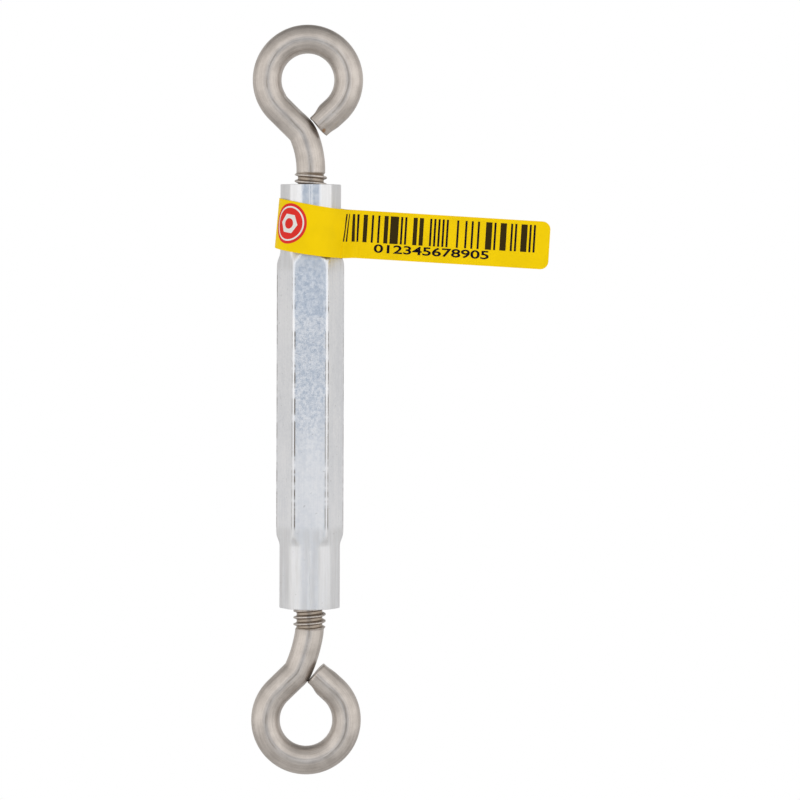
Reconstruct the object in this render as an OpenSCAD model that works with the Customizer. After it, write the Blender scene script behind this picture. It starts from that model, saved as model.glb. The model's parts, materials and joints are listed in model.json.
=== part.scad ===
// Eye-and-eye rigging turnbuckle, open to the length it is sold at.
//
// A hexagonal barrel has its corners pressed flat at both ends, which makes two twelve-sided necks.
// The upper neck is tapped left-hand and the lower one right-hand. Each takes an eye bolt bent from
// one length of wire, so turning the barrel draws both eyes in or lets both out.
//
// Millimetres. +Z runs along the thread axis, towards the left-hand eye. The origin is on that axis,
// level with the middle of the upper eye. The eyes lie in the XZ plane and a hexagon face looks along -Y.
// Threads are modelled as plain cylinders of their major diameter.

/* [Eye bolts] */
// Diameter of the wire that both eye bolts are bent from
wire_d = 5.4; // [4.6:0.1:6]
// Major diameter of the rolled thread
thread_d = 6.1; // [5.4:0.1:7]
// Radius of the loop, measured to the middle of the wire
eye_r = 7.64; // [6.8:0.02:9]
// Distance from the thread axis to the middle of the loop
eye_offset = 0.6; // [0:0.1:1.2]
// Lean of the neck where it leaves the loop, from the thread axis
neck_lean = 45.5; // [40:0.5:50]
// Radius of the first, tight bend back towards the thread axis
knee_r = 3.8; // [3.3:0.1:5]
// Lean left after the tight bend
ease_lean = 23; // [16:1:28]
// Radius of the long easy bend onto the thread axis
ease_r = 16.7; // [13:0.1:19]
// Plain straight wire between the easy bend and the thread
shank_l = 0.3; // [0.2:0.1:4]
// Lean of the short straight tail that ends the loop, from the thread axis
tail_lean = 42.7; // [38:0.1:46]
// Gap between the cut end of the tail and the neck
eye_gap = 0.2; // [0.1:0.1:1.5]
// Length of the cone where the thread runs out into the wire
runout_l = 0.4; // [0.2:0.1:1]
// Length of the cone on the hidden tip of the thread
tip_l = 0.8; // [0.4:0.1:1.5]

/* [Barrel] */
// Length of the barrel
barrel_l = 79.4; // [66:0.1:100]
// Width across the flats of the hexagon
flats_w = 11.1; // [10:0.1:14]
// Depth that each long corner of the hexagon is rounded off
corner_round = 0.08; // [0.02:0.01:0.2]
// Depth that the corners are pressed in at the necks
corner_press = 0.78; // [0.3:0.01:1]
// Depth that the flats are pressed in at the necks and shoulders
flat_press = 0.05; // [0.02:0.01:0.15]
// Length of the upper neck, down to its shoulder
upper_neck_l = 11.8; // [9:0.1:14]
// Length of the lower neck, up to its shoulder
lower_neck_l = 10.9; // [9:0.1:14]
// Length of the slope from a neck's pressed corners to the full hexagon
shoulder_l = 3.4; // [2:0.1:5]
// Radial clearance between the rods and the smooth cavity between the necks
cavity_gap = 0.3; // [0.3:0.05:0.6]

/* [Setting] */
// Thread left showing above the barrel
upper_thread_out = 2.4; // [2:0.1:12]
// Thread left showing below the barrel
lower_thread_out = 4.1; // [2:0.1:12]
// Gap between the hidden tips of the two rods
tip_gap = 7.3; // [4:0.1:20]
// Radial clearance of the thread in its tapped neck
thread_gap = 0.05; // [0.02:0.01:0.1]

/* [Carrier ring] */
// Length of the hidden ring that carries the barrel's travel
ring_l = 4; // [2:0.5:10]
// Wall of the hidden ring
ring_wall = 0.4; // [0.3:0.05:0.6]
// Running clearance round the hidden ring
ring_gap = 0.05; // [0.02:0.01:0.1]

/* [Label] */
// Height of the label
label_h = 9.35; // [6:0.05:11]
// Thickness of one layer of the label
label_t = 0.12; // [0.1:0.01:0.3]
// Distance from the thread axis to the free edge of the flag
flag_reach = 44.7; // [20:0.1:55]
// Radius of the flag's free corners
flag_corner_r = 1.5; // [0.5:0.1:3]
// Distance of the label's middle below the top of the barrel
label_drop = 8.5; // [7:0.1:9]
// Slope of the band round the neck, down towards the flag
band_slope = 8.7; // [0:0.1:10]
// Slope of the flag, down towards its free edge
flag_slope = 3.25; // [0:0.05:5]
// Clearance between the band and the neck
band_gap = 0.06; // [0.03:0.01:0.2]

/* [Hidden] */
$fn = 96;
STEEL = [0.69, 0.65, 0.62];
ALUMINIUM = [0.80, 0.82, 0.85];
YELLOW = [0.99, 0.85, 0.03];
OVER = 1; // how far a cutting shape runs past the face it cuts
LINK_LAP = 0.2; // how far one stretch of wire runs into the next
LINK_STEP = 0.02; // how much thinner every second stretch is

// The loop and its neck, as points [x, z] in the plane of the eye. The loop's middle is [-eye_offset, 0].
wire_r = wire_d / 2;
loop_middle = [-eye_offset, 0];
function heading(lean) = [sin(lean), -cos(lean)];
function outward(lean) = [cos(lean), sin(lean)];
neck_start = loop_middle - eye_r * outward(neck_lean);
neck_run = (-neck_start.x - knee_r * (cos(ease_lean) - cos(neck_lean)) - ease_r * (1 - cos(ease_lean)))
    / sin(neck_lean);
neck_end = neck_start + neck_run * heading(neck_lean);
knee_middle = neck_end - knee_r * outward(neck_lean);
knee_end = knee_middle + knee_r * outward(ease_lean);
ease_middle = knee_end - ease_r * outward(ease_lean);
neck_drop = -ease_middle.y;

// The tail stops where its nearer corner is eye_gap from the neck.
tail_start_angle = tail_lean - 90;
tail_start = loop_middle + eye_r * [cos(tail_start_angle), sin(tail_start_angle)];
tail_inner_corner = tail_start + wire_r * [-cos(tail_lean), sin(tail_lean)];
tail_l = ((tail_inner_corner - neck_start) * outward(neck_lean) - wire_r - eye_gap)
    / (sin(tail_lean) * cos(neck_lean) + cos(tail_lean) * sin(neck_lean));

// Heights along the thread axis. The lower eye bolt is the upper one turned end for end.
thread_start = neck_drop + shank_l;
barrel_top = -(thread_start + upper_thread_out);
barrel_bottom = barrel_top - barrel_l;
lower_eye_z = barrel_bottom - lower_thread_out - thread_start;
thread_l = (barrel_l + upper_thread_out + lower_thread_out - tip_gap) / 2;
barrel_middle_z = barrel_top - barrel_l / 2;

// Radii of the barrel, its bores and the ring in its cavity.
thread_r = thread_d / 2;
corner_r = flats_w / 2 / cos(30) - corner_round;
neck_r = corner_r - corner_press;
tapped_r = thread_r + thread_gap;
cavity_r = thread_r + cavity_gap;
ring_outer_r = cavity_r + ring_wall;

// The band flares from the neck to past the shoulder's corners, so that it clears them at its lower edge.
label_z = barrel_top - label_drop;
neck_corner_r = neck_r / cos(15);
band_top_r = max(neck_corner_r, flats_w / 2 / cos(15)) + band_gap;
band_low_r = corner_r + band_gap;
band_lean_h = band_top_r * tan(band_slope);
band_top_z = label_z + label_h / 2 / cos(band_slope) + band_lean_h;
band_low_z = label_z - label_h / 2 / cos(band_slope) - band_lean_h;

// One stretch of bent wire, from one angle to the next round middle, anticlockwise from +X towards +Z.
module wire_bend(middle, r, from, to, thickness = wire_r) {
    translate([middle.x, 0, middle.y]) rotate([90, 0, 0]) rotate([0, 0, from])
        rotate_extrude(angle = to - from) translate([r, 0]) circle(r = thickness);
}

// A stretch that links two bends. It is LINK_STEP thinner than they are, and runs LINK_LAP into both.
module wire_link(start, lean, l) {
    inside = start - LINK_LAP * heading(lean);
    translate([inside.x, 0, inside.y]) rotate([0, 180 - lean, 0])
        cylinder(r = wire_r - LINK_STEP, h = l + 2 * LINK_LAP);
}

// The thread with its run-out at the top and its coned tip at the bottom, hanging from z = 0.
module rod_thread(l) {
    rotate_extrude() polygon([
        [0, 0], [wire_r, 0], [thread_r, -runout_l],
        [thread_r, tip_l - l], [thread_r - tip_l / 2, -l], [0, -l]
    ]);
}

// An eye bolt with its eye at the origin and its thread pointing down. Both eye bolts are the same length.
module eye_bolt() {
    ease_lap = LINK_LAP / ease_r * 180 / PI;
    wire_bend(loop_middle, eye_r, tail_start_angle, 180 + neck_lean);
    wire_link(tail_start, -tail_lean, tail_l - LINK_LAP);
    wire_link(neck_start, neck_lean, neck_run);
    wire_bend(knee_middle, knee_r, ease_lean, neck_lean);
    wire_bend(ease_middle, ease_r, -ease_lap, ease_lean + ease_lap, wire_r - LINK_STEP);
    translate([0, 0, -thread_start - runout_l]) cylinder(r = wire_r, h = shank_l + runout_l);
    translate([0, 0, -thread_start]) rod_thread(thread_l);
}

module upper_eye_bolt() {
    color(STEEL) eye_bolt();
}

module lower_eye_bolt() {
    color(STEEL) translate([0, 0, lower_eye_z]) rotate([180, 0, 0]) eye_bolt();
}

// What a press takes off the six corners of a bar that stands on z = 0, for a neck at its lower end.
module corner_presses(neck_l) {
    slope = corner_press / shoulder_l;
    past = corner_r + OVER;
    for (corner = [0 : 60 : 300]) rotate([0, 0, corner]) rotate([90, 0, 0])
        linear_extrude(flats_w, center = true)
            polygon([
                [neck_r, -OVER], [neck_r, neck_l],
                [past, neck_l + (past - neck_r) / slope], [past, -OVER]
            ]);
}

// What a press takes off the six flats of a bar that stands on z = 0, along a neck and its shoulder.
module flat_presses(neck_l) {
    translate([0, 0, -OVER]) linear_extrude(OVER + neck_l + shoulder_l) difference() {
        circle(r = corner_r + OVER);
        circle(d = (flats_w - 2 * flat_press) / cos(30), $fn = 6);
    }
}

// The barrel's outside, standing on z = 0 with its lower neck down.
module barrel_bar() {
    difference() {
        linear_extrude(barrel_l) intersection() {
            circle(d = flats_w / cos(30), $fn = 6);
            circle(r = corner_r);
        }
        corner_presses(lower_neck_l);
        flat_presses(lower_neck_l);
        translate([0, 0, barrel_l]) mirror([0, 0, 1]) {
            corner_presses(upper_neck_l);
            flat_presses(upper_neck_l);
        }
    }
}

// The tapped necks, the cavity between them and the groove that the carrier ring runs in.
module barrel_bores() {
    translate([0, 0, -OVER]) cylinder(r = tapped_r, h = barrel_l + 2 * OVER);
    translate([0, 0, lower_neck_l]) cylinder(r = cavity_r, h = barrel_l - lower_neck_l - upper_neck_l);
    translate([0, 0, barrel_l / 2 - ring_l / 2 - ring_gap])
        cylinder(r = ring_outer_r + ring_gap, h = ring_l + 2 * ring_gap);
}

module barrel() {
    color(ALUMINIUM) translate([0, 0, barrel_bottom]) difference() {
        barrel_bar();
        barrel_bores();
    }
}

// A slice of the barrel's own inner wall, which moves along with the barrel and doesn't turn.
module carrier_ring() {
    color(ALUMINIUM) translate([0, 0, barrel_middle_z - ring_l / 2]) difference() {
        cylinder(r = ring_outer_r, h = ring_l);
        translate([0, 0, -OVER]) cylinder(r = cavity_r, h = ring_l + 2 * OVER);
    }
}

// The space inside the label's band, or with wall added its outside.
module band_cone(wall) {
    translate([0, 0, band_low_z]) cylinder(r1 = band_low_r + wall, r2 = band_top_r + wall,
        h = band_top_z - band_low_z);
}

// A tilted slab of the label's height, wide enough to hold the band.
module band_slab() {
    side = 4 * band_low_r;
    translate([0, 0, label_z]) rotate([0, band_slope, 0]) cube([side, side, label_h], center = true);
}

// Both layers of the flag, stuck back to back, from inside the band to the rounded free edge.
module flag() {
    flag_l = (flag_reach - band_top_r) / cos(flag_slope);
    straight_l = flag_l - flag_corner_r;
    translate([band_top_r, 0, label_z - band_top_r * tan(band_slope)]) rotate([0, flag_slope, 0])
        rotate([90, 0, 0]) linear_extrude(2 * label_t, center = true) {
            translate([0, -label_h / 2]) square([straight_l, label_h]);
            translate([0, -label_h / 2 + flag_corner_r]) square([flag_l, label_h - 2 * flag_corner_r]);
            for (side = [-1, 1])
                translate([straight_l, side * (label_h / 2 - flag_corner_r)]) circle(r = flag_corner_r);
        }
}

module label() {
    color(YELLOW) difference() {
        union() {
            intersection() {
                band_cone(label_t);
                band_slab();
            }
            flag();
        }
        band_cone(0);
    }
}

upper_eye_bolt();
barrel();
label();
carrier_ring();
lower_eye_bolt();
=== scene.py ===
"""Eye-and-eye rigging turnbuckle, dressed for a plain studio.

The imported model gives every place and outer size. This script stands detailed pieces in for its plain
solids: two bent-wire eye bolts with rolled threads of opposite hand, a drawn hexagonal barrel with
swaged necks, and a folded label with a bar code. Lengths are in metres, and MM turns millimetres into them.
"""

import json
import logging
import math
from dataclasses import dataclass, field
from enum import Enum
from typing import Any, Sequence

import bmesh
import bpy
import numpy as np
from mathutils import Matrix, Vector


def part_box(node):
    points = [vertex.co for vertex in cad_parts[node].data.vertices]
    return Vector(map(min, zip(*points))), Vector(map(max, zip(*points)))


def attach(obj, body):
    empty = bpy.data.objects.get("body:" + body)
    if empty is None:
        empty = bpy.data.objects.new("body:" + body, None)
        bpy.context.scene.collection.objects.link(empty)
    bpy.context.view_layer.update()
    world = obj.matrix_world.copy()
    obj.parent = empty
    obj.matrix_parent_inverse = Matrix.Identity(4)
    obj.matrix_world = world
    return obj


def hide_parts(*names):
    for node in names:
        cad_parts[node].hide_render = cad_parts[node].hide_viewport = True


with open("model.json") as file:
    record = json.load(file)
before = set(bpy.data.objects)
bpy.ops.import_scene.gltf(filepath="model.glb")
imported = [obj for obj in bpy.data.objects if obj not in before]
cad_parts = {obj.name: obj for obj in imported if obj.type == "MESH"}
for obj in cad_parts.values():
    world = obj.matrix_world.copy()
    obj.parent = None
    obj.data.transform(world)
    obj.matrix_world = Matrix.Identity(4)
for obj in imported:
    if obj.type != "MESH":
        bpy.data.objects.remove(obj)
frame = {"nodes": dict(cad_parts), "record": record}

LOG = logging.getLogger("turnbuckle")
MM = 0.001
TURN = 2 * math.pi
LABEL_DROP = 8.05 * MM
FLOOR_DROP = 490 * MM
Colour = tuple[float, float, float]
Number = float | int


# ---------------------------------------------------------------- node trees written as expressions


class Value:
    """A number socket of a node tree that takes part in Python expressions."""

    def __init__(self, graph: "Graph", socket: bpy.types.NodeSocket) -> None:
        """Wraps socket, which belongs to graph."""
        self.graph = graph
        self.socket = socket

    def __add__(self, other: "Value | Number") -> "Value":
        """self + other."""
        return self.graph.math("ADD", self, other)

    def __radd__(self, other: Number) -> "Value":
        """other + self."""
        return self.graph.math("ADD", other, self)

    def __sub__(self, other: "Value | Number") -> "Value":
        """self - other."""
        return self.graph.math("SUBTRACT", self, other)

    def __rsub__(self, other: Number) -> "Value":
        """other - self."""
        return self.graph.math("SUBTRACT", other, self)

    def __mul__(self, other: "Value | Number") -> "Value":
        """self * other."""
        return self.graph.math("MULTIPLY", self, other)

    def __rmul__(self, other: Number) -> "Value":
        """other * self."""
        return self.graph.math("MULTIPLY", other, self)

    def __truediv__(self, other: "Value | Number") -> "Value":
        """self / other."""
        return self.graph.math("DIVIDE", self, other)

    def __rtruediv__(self, other: Number) -> "Value":
        """other / self."""
        return self.graph.math("DIVIDE", other, self)

    def __pow__(self, other: "Value | Number") -> "Value":
        """self to the power other."""
        return self.graph.math("POWER", self, other)

    def __abs__(self) -> "Value":
        """The size of self, without its sign."""
        return self.graph.math("ABSOLUTE", self)

    def cos(self) -> "Value":
        """The cosine of self, an angle in radians."""
        return self.graph.math("COSINE", self)

    def sin(self) -> "Value":
        """The sine of self, an angle in radians."""
        return self.graph.math("SINE", self)

    def around(self, period: "Value | Number") -> "Value":
        """self brought into the range from minus half a period to plus half of it."""
        return self.graph.math("WRAP", self, period / 2 * 1.0, period / -2)

    def at_most(self, other: "Value | Number") -> "Value":
        """The smaller of self and other."""
        return self.graph.math("MINIMUM", self, other)

    def at_least(self, other: "Value | Number") -> "Value":
        """The larger of self and other."""
        return self.graph.math("MAXIMUM", self, other)

    def ramp(
        self,
        start: "Value | Number",
        end: "Value | Number",
        low: "Value | Number" = 0.0,
        high: "Value | Number" = 1.0,
        smooth: bool = True,
    ) -> "Value":
        """Goes from low to high while self goes from start to end, and stays there outside them.

        Args:
            start: where the ramp begins.
            end: where it ends.
            low: its value up to start.
            high: its value past end.
            smooth: whether it eases in and out.

        Returns:
            The ramp's value.
        """
        settings = {"interpolation_type": "SMOOTHSTEP" if smooth else "LINEAR"}
        links = {"Value": self, "From Min": start, "From Max": end, "To Min": low, "To Max": high}
        return self.graph.value("ShaderNodeMapRange", settings, links)


class Graph:
    """Adds nodes to one node tree."""

    def __init__(self, tree: bpy.types.NodeTree) -> None:
        """Starts on tree, which may already hold nodes."""
        self.tree = tree

    def add(
        self,
        kind: str,
        settings: dict[str, Any] | None = None,
        links: dict[str | int, Any] | None = None,
    ) -> bpy.types.Node:
        """Adds one node.

        Args:
            kind: the node's type.
            settings: its properties, set before its sockets.
            links: what each input socket, by name or number, is set to or linked from.

        Returns:
            The node.
        """
        node = self.tree.nodes.new(kind)
        for name, setting in (settings or {}).items():
            setattr(node, name, setting)
        for name, source in (links or {}).items():
            socket = node.inputs[name]
            if isinstance(source, Value):
                self.tree.links.new(source.socket, socket)
            elif isinstance(source, bpy.types.NodeSocket):
                self.tree.links.new(source, socket)
            else:
                socket.default_value = source
        return node

    def value(
        self,
        kind: str,
        settings: dict[str, Any] | None = None,
        links: dict[str | int, Any] | None = None,
        output: str | int = 0,
    ) -> Value:
        """Adds one node and wraps one of its outputs.

        Args:
            kind: the node's type.
            settings: its properties, set before its sockets.
            links: what each input socket is set to or linked from.
            output: the name or number of the output.

        Returns:
            That output, ready for expressions.
        """
        return Value(self, self.add(kind, settings, links).outputs[output])

    def math(self, operation: str, *numbers: Value | Number) -> Value:
        """One Math node over the given numbers."""
        return self.value("ShaderNodeMath", {"operation": operation}, dict(enumerate(numbers)))

    def vector(self, x: Value | Number, y: Value | Number, z: Value | Number) -> Value:
        """A vector made of three numbers."""
        return self.value("ShaderNodeCombineXYZ", {}, {0: x, 1: y, 2: z})

    def parts(self, vector: Value) -> tuple[Value, Value, Value]:
        """The three numbers that a vector is made of."""
        node = self.add("ShaderNodeSeparateXYZ", {}, {0: vector})
        return tuple(Value(self, socket) for socket in node.outputs)


class Shading(Graph):
    """The node tree of one material, with the few patterns that the finishes share."""

    def __init__(self, name: str) -> None:
        """Makes an empty material and its shader."""
        self.material = bpy.data.materials.new(name)
        self.material.use_nodes = True
        super().__init__(self.material.node_tree)
        self.tree.nodes.clear()
        self.shader = self.add("ShaderNodeBsdfPrincipled")
        self.add("ShaderNodeOutputMaterial", {}, {"Surface": self.shader.outputs[0]})
        self.place = self.value("ShaderNodeTexCoord", output="Object")

    def noise(self, vector: Value, scale: Number, detail: Number = 2.0, roughness: Number = 0.5) -> Value:
        """A grey noise pattern.

        Args:
            vector: where it is read.
            scale: how many features it has to the unit of vector.
            detail: how many finer layers it has.
            roughness: how strong they are.

        Returns:
            Its value, near a half on average.
        """
        links = {"Vector": vector, "Scale": scale, "Detail": detail, "Roughness": roughness}
        return self.value("ShaderNodeTexNoise", {}, links)

    def stretched(self, vector: Value, scale: Sequence[Number]) -> Value:
        """vector with its three parts scaled each by its own number."""
        links = {0: vector, 1: tuple(scale)}
        return self.value("ShaderNodeVectorMath", {"operation": "MULTIPLY"}, links)

    def distance(self, point: Sequence[Number]) -> Value:
        """How far each place on the surface is from point."""
        links = {0: self.place, 1: tuple(point)}
        return self.value("ShaderNodeVectorMath", {"operation": "DISTANCE"}, links, "Value")

    def mix(self, factor: Value, first: Any, second: Any) -> Value:
        """A mix of two colours.

        Args:
            factor: the share of the second.
            first: a colour, or a colour socket.
            second: a colour, or a colour socket.

        Returns:
            The mixed colour.
        """
        node = self.add("ShaderNodeMix", {"data_type": "RGBA"}, {0: factor})
        for number, source in ((6, first), (7, second)):
            if isinstance(source, Value):
                self.tree.links.new(source.socket, node.inputs[number])
            else:
                node.inputs[number].default_value = (*source, 1.0)
        return Value(self, node.outputs[2])

    def set(self, **inputs: Any) -> None:
        """Sets or links inputs of the shader, named with _ for each space."""
        for name, source in inputs.items():
            socket = self.shader.inputs[name.replace("_", " ")]
            if isinstance(source, Value):
                self.tree.links.new(source.socket, socket)
            else:
                socket.default_value = source

    def bump(self, height: Value, depth: Number) -> None:
        """Roughens the surface by height, which counts as depth metres from 0 to 1."""
        links = {"Height": height, "Distance": depth, "Strength": 1.0}
        self.set(Normal=self.value("ShaderNodeBump", {}, links))


# ---------------------------------------------------------------- finishes


@dataclass(frozen=True)
class SatinSteel:
    """Tumbled stainless wire with faint drawing lines; its UV map runs along and round the wire, in mm."""

    light: Colour = (0.65, 0.60, 0.555)
    dark: Colour = (0.45, 0.41, 0.375)
    # root: the dark brown of the scuffs, also painted into the thread roots as painted shade and down the
    # wire's front as a painted dark reflection line.
    root: Colour = (0.34, 0.28, 0.22)
    rust: Colour = (0.34, 0.17, 0.06)
    roughness: float = 0.36
    front_line: float = 4.24  # a quarter of the way round the wire, in mm: its front

    def material(self, name: str, axis_range: tuple[float, float], chip: Vector) -> bpy.types.Material:
        """Builds the finish.

        Args:
            name: the material's name.
            axis_range: the lowest and highest place of the thread along Z.
            chip: where the cut edge has chipped and stained.

        Returns:
            The material.
        """
        s = Shading(name)
        along_wire = s.value("ShaderNodeUVMap", {"uv_map": "wire"})
        lines = s.noise(s.stretched(along_wire, (0.06, 2.6, 1.0)), 1.0, 4.0, 0.65)
        patches = s.noise(s.place, 320.0, 3.0, 0.6)
        grain = s.noise(s.place, 5200.0, 2.0, 0.7)
        scuffs = s.noise(s.stretched(along_wire, (0.35, 5.0, 1.0)), 1.0, 2.0).ramp(0.64, 0.76)
        tone = (lines * 0.55 + patches * 0.45).ramp(0.34, 0.66)
        colour = s.mix(tone, self.dark, self.light)
        colour = s.mix(grain.ramp(0.52, 0.74) * 0.5, colour, self.dark)
        colour = s.mix(grain.ramp(0.30, 0.46, 1.0, 0.0) * 0.3, colour, self.light)
        u, v, _ = s.parts(along_wire)
        # Painted reflection: a thin dark line that wanders down the wire's front, broken into patches, stands
        # in for a dark reflection there.
        wander = (s.noise(s.vector(u, 0.0, 0.0), 0.12, 3.0) - 0.5) * 1.1
        from_line = abs((v - self.front_line).around(self.front_line * 2.0) + wander)
        painted_dark_line = from_line.ramp(0.06, 0.20, 1.0, 0.0)
        patchy_fade = s.noise(s.vector(u, 7.0, 0.0), 0.22, 4.0, 0.7).ramp(0.42, 0.60)
        colour = s.mix(painted_dark_line * patchy_fade * 0.55, colour, self.root)
        colour = s.mix(scuffs * 0.45, colour, self.root)
        x, y, z = s.parts(s.place)
        radius = (x * x + y * y) ** 0.5
        on_thread = z.ramp(axis_range[0], axis_range[0] + 0.1 * MM) * z.ramp(
            axis_range[1] - 0.1 * MM, axis_range[1], 1.0, 0.0
        )
        # Painted shade: the thread's roots, between its crests, are darkened with the root colour.
        painted_root_shade = radius.ramp(2.45 * MM, 2.95 * MM, 1.0, 0.0) * on_thread
        colour = s.mix(painted_root_shade * 0.8, colour, self.root)
        stain = s.distance(chip).ramp(0.25 * MM, 0.75 * MM, 1.0, 0.0) * patches.ramp(0.4, 0.55)
        colour = s.mix(stain * 0.8, colour, self.rust)
        s.set(Base_Color=colour, Metallic=1.0)
        s.set(Roughness=lines.ramp(0.3, 0.7, self.roughness - 0.04, self.roughness + 0.07) + grain * 0.05)
        s.bump(grain * 0.5 + lines * 0.35 + patches * 0.4, 0.022 * MM)
        return s.material


@dataclass(frozen=True)
class DrawnAluminium:
    """Drawn aluminium bar: a mottled grain, faint lines along Z, and a grimy line beside each long corner."""

    light: Colour = (0.85, 0.855, 0.87)
    dark: Colour = (0.74, 0.755, 0.785)
    grime: Colour = (0.20, 0.18, 0.16)
    pressed: Colour = (0.66, 0.66, 0.66)
    # Bluish grey painted on the front face's upper part as a painted reflection.
    painted_front_reflection: Colour = (0.62, 0.68, 0.76)
    roughness: float = 0.34
    line_angle: float = math.radians(2.6)

    def material(self, name: str, ends: tuple[float, float], reflection_from_z: float) -> bpy.types.Material:
        """Builds the finish.

        Args:
            name: the material's name.
            ends: the lowest and highest place of the full hexagon along Z.
            reflection_from_z: the height above which the front face carries a darker, bluish painted
                reflection.

        Returns:
            The material.
        """
        s = Shading(name)
        x, y, z = s.parts(s.place)
        spangle = s.noise(s.place, 1900.0, 3.0, 0.62)
        cloud = s.noise(s.stretched(s.place, (1.0, 1.0, 0.35)), 210.0, 3.0, 0.5)
        lines = s.noise(s.stretched(s.place, (1.0, 1.0, 0.02)), 2600.0, 3.0, 0.6)
        specks = s.noise(s.place, 1500.0, 1.0).ramp(0.71, 0.78)
        tone = (spangle * 0.35 + cloud * 0.4 + lines * 0.25).ramp(0.36, 0.64)
        colour = s.mix(tone, self.dark, self.light)
        colour = s.mix(specks * 0.22, colour, self.grime)
        angle = s.math("ARCTAN2", y, x)
        from_corner = angle.around(math.radians(60))
        right_side = from_corner.ramp(math.radians(-0.5), math.radians(0.5), 0.55, 1.0)
        beside = abs(abs(from_corner) - self.line_angle).ramp(math.radians(0.6), math.radians(1.6), 1.0, 0.0)
        broken = s.noise(s.stretched(s.place, (0.2, 0.2, 1.0)), 260.0, 3.0, 0.7).ramp(0.4, 0.6)
        on_hexagon = z.ramp(ends[0], ends[0] + 1.5 * MM) * z.ramp(ends[1] - 1.5 * MM, ends[1], 1.0, 0.0)
        colour = s.mix(beside * right_side * broken * on_hexagon * 0.95, colour, self.grime)
        streaks = s.noise(s.stretched(s.place, (1.0, 1.0, 0.08)), 900.0, 4.0, 0.65).ramp(0.35, 0.65)
        colour = s.mix((1.0 - on_hexagon) * (streaks * 0.5 + 0.2), colour, self.pressed)
        # Painted reflection: the front face (towards -Y) is tinted a darker bluish grey from a height upward,
        # standing in for a reflection there.
        front = y.ramp(-5.5 * MM, -5.3 * MM, 1.0, 0.0)
        front_reflection_mask = (z + cloud * (2 * MM)).ramp(reflection_from_z, reflection_from_z + 1.2 * MM) * front
        colour = s.mix(front_reflection_mask * 0.36, colour, self.painted_front_reflection)
        s.set(Base_Color=colour, Metallic=1.0)
        patchy_fade = (z + cloud * (4 * MM)).ramp(ends[0] + 8 * MM, ends[0] + 30 * MM, 0.16, 0.0)
        s.set(Roughness=spangle.ramp(0.3, 0.7, self.roughness - 0.05, self.roughness + 0.08) + patchy_fade)
        s.bump(spangle * 0.6 + cloud * 0.15 + lines * 0.25, 0.010 * MM)
        return s.material


class Print(Enum):
    """What the label's faces carry, each with its colour and roughness."""

    STOCK = ("label_yellow", (1.0, 0.69, 0.001), 0.52)
    EDGE = ("label_paper_edge", (0.80, 0.78, 0.70), 0.80)
    INK = ("label_ink_dark", (0.006, 0.003, 0.012), 0.5)
    THIN_INK = ("label_ink_olive", (0.040, 0.026, 0.004), 0.5)
    RED = ("label_ink_red", (0.80, 0.035, 0.028), 0.40)
    WHITE = ("label_ink_white", (0.86, 0.85, 0.82), 0.45)


@dataclass(frozen=True)
class PrintedPaper:
    """Semi-gloss printed paper: fibres, a faint print grain and slow changes of tone."""

    fibre: float = 0.006 * MM

    def material(self, surface: Print) -> bpy.types.Material:
        """Builds the finish of one of the label's inks or of its bare stock."""
        name, colour, roughness = surface.value
        s = Shading(name)
        fibres = s.noise(s.place, 3200.0, 4.0, 0.7)
        tone = s.noise(s.place, 170.0, 2.0)
        dots = s.noise(s.place, 6500.0, 1.0).ramp(0.66, 0.76)
        shade = tuple(0.94 * part for part in colour)
        tint = tuple(min(1.0, 0.95 * part + 0.02) for part in colour)
        mixed = s.mix(tone.ramp(0.35, 0.65), shade, colour)
        mixed = s.mix(dots * 0.35, mixed, tint)
        s.set(Base_Color=mixed, Specular_IOR_Level=0.06)
        s.set(Roughness=fibres.ramp(0.3, 0.7, roughness - 0.05, roughness + 0.08))
        s.bump(fibres * 0.6 + tone * 0.8, self.fibre)
        return s.material


# ---------------------------------------------------------------- mesh helpers


def mesh_object(name: str, points: np.ndarray, faces: Sequence[Sequence[int]]) -> bpy.types.Object:
    """Makes an object at the origin from points and faces.

    Args:
        name: the object's name.
        points: one row for each vertex.
        faces: each face's vertices.

    Returns:
        The object, linked to the scene.
    """
    mesh = bpy.data.meshes.new(name)
    mesh.from_pydata([tuple(p) for p in points], [], [tuple(f) for f in faces])
    made = bpy.data.objects.new(name, mesh)
    bpy.context.scene.collection.objects.link(made)
    return made


def grid_faces(rows: int, columns: int, closed: bool) -> list[tuple[int, int, int, int]]:
    """The quads of a grid of points.

    Args:
        rows: how many rows of points it has.
        columns: how many points each row has.
        closed: whether each row closes on itself.

    Returns:
        The faces, row by row.
    """
    last = columns if closed else columns - 1
    quads = []
    for row in range(rows - 1):
        for column in range(last):
            across = (column + 1) % columns
            low, high = row * columns, (row + 1) * columns
            quads.append((low + column, low + across, high + across, high + column))
    return quads


def evaluated_mesh(source: bpy.types.Object, name: str) -> bpy.types.Mesh:
    """The mesh that source's modifiers make, as a plain mesh of its own; source is then deleted."""
    depsgraph = bpy.context.evaluated_depsgraph_get()
    mesh = bpy.data.meshes.new_from_object(source.evaluated_get(depsgraph))
    mesh.name = name
    source.modifiers.clear()
    bpy.data.objects.remove(source)
    return mesh


def grown(name: str, tree: bpy.types.NodeTree, sizes: dict[str, Number]) -> bpy.types.Mesh:
    """Runs a Geometry Nodes tree with the given sizes.

    Args:
        name: the name of the result.
        tree: the node tree.
        sizes: a number for each of the tree's named inputs.

    Returns:
        What the tree makes, as a plain mesh.
    """
    carrier = mesh_object(name + "_carrier", np.zeros((1, 3)), [])
    modifier = carrier.modifiers.new(name, "NODES")
    modifier.node_group = tree
    sockets = [s for s in tree.interface.items_tree if s.item_type == "SOCKET" and s.in_out == "INPUT"]
    for socket in sockets:
        if socket.name in sizes:
            modifier[socket.identifier] = sizes[socket.name]
    return evaluated_mesh(carrier, name)


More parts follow.
